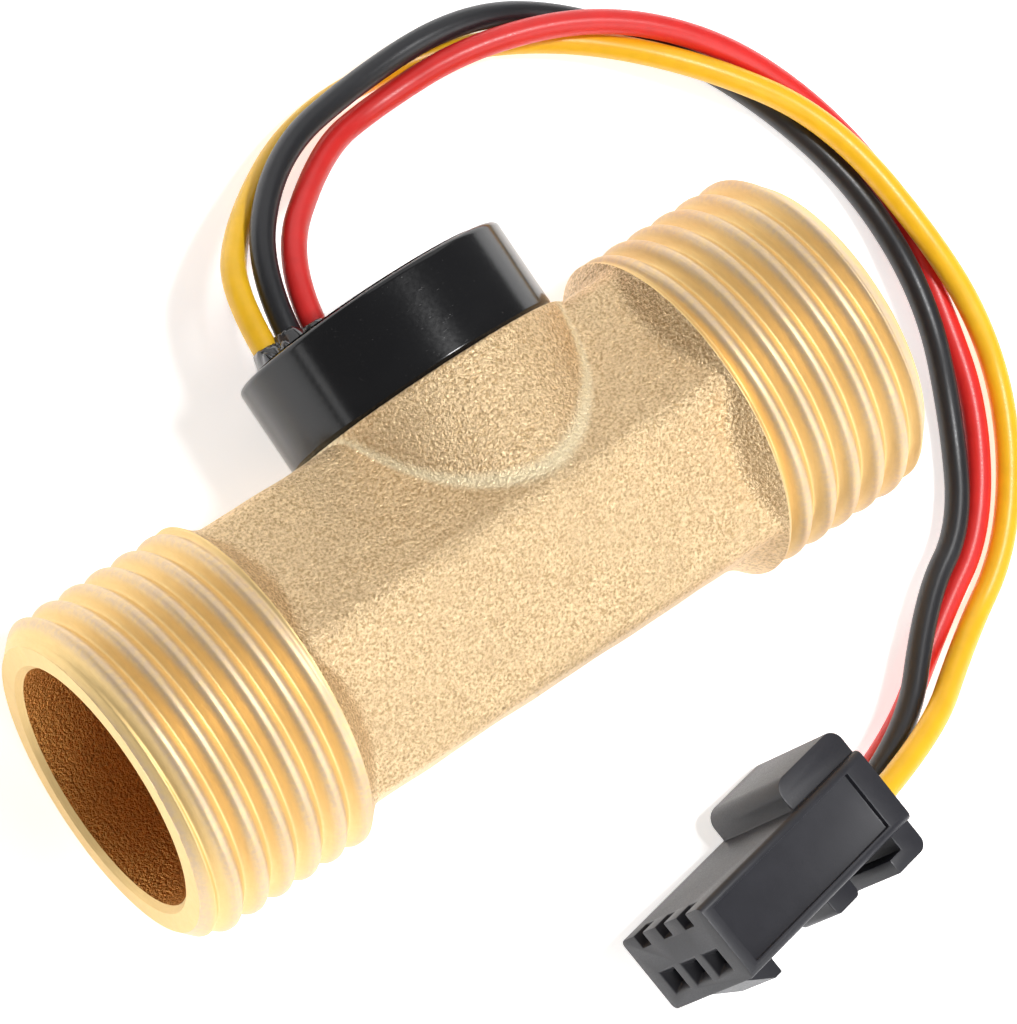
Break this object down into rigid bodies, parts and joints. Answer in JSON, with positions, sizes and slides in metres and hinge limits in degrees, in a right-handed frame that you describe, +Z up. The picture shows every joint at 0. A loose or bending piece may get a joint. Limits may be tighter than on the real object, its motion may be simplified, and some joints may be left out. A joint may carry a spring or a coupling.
{
  "type": "hall effect flow meter",
  "caption": "Brass pipe body with threaded ends, a round black sensor case on a hexagonal middle, coloured wires and a plug.",
  "frame": {"origin": "on the floor, under the centre of the box round the meter without its wires and plug", "axes": "+X along the pipe from the inlet to the outlet, +Y towards the sensor case, which lies on its side and dips 6 degrees to rest on its rim, +Z up"},
  "size_m": [0.0666, 0.0582, 0.021],
  "materials": {
    "cast_brass": "fine cast grain, machined threads",
    "spring_steel": "satin",
    "insert_plastic": "satin",
    "bush_ceramic": "smooth",
    "rotor_plastic": "satin",
    "shaft_steel": "ground",
    "case_plastic": "gloss with fine scratches",
    "screw_steel": "satin",
    "chip_resin": "matte",
    "board_laminate": "satin",
    "capacitor_body": "satin",
    "potting_resin": "gloss, clear at its edge",
    "sealant": "gloss, partly clear",
    "magnet_ferrite": "matte",
    "terminal_metal": "tinned",
    "plug_plastic": "moulded satin",
    "wire_yellow": "satin",
    "wire_black": "satin",
    "wire_red": "satin"
  },
  "bodies": {
    "meter": {"brass_body": "cast_brass", "retaining_ring": "spring_steel", "inlet_guide": "insert_plastic", "outlet_carrier": "insert_plastic", "inlet_bush": "bush_ceramic", "outlet_bush": "bush_ceramic", "thrust_washer": "bush_ceramic", "sensor_case": "case_plastic", "case_screw_upper": "screw_steel", "case_screw_lower": "screw_steel", "hall_chip": "chip_resin", "sensor_board": "board_laminate", "board_resistor": "chip_resin", "board_capacitor": "capacitor_body", "potting": "potting_resin", "cable_seal": "sealant", "plug_housing": "plug_plastic", "wire_yellow": "wire_yellow", "wire_black": "wire_black", "wire_red": "wire_red", "plug_terminal_1": "terminal_metal", "plug_terminal_2": "terminal_metal", "plug_terminal_3": "terminal_metal"},
    "rotor": {"impeller": "rotor_plastic", "rotor_shaft": "shaft_steel", "rotor_magnet_1": "magnet_ferrite", "rotor_magnet_2": "magnet_ferrite", "rotor_magnet_3": "magnet_ferrite", "rotor_magnet_4": "magnet_ferrite"}
  },
  "joints": [
    {"name": "rotor_spin", "type": "hinge", "parent": "meter", "child": "rotor", "pos_m": [0.0031, -0.00273, 0.01048], "axis": [1, 0, 0], "continuous": true}
  ]
}
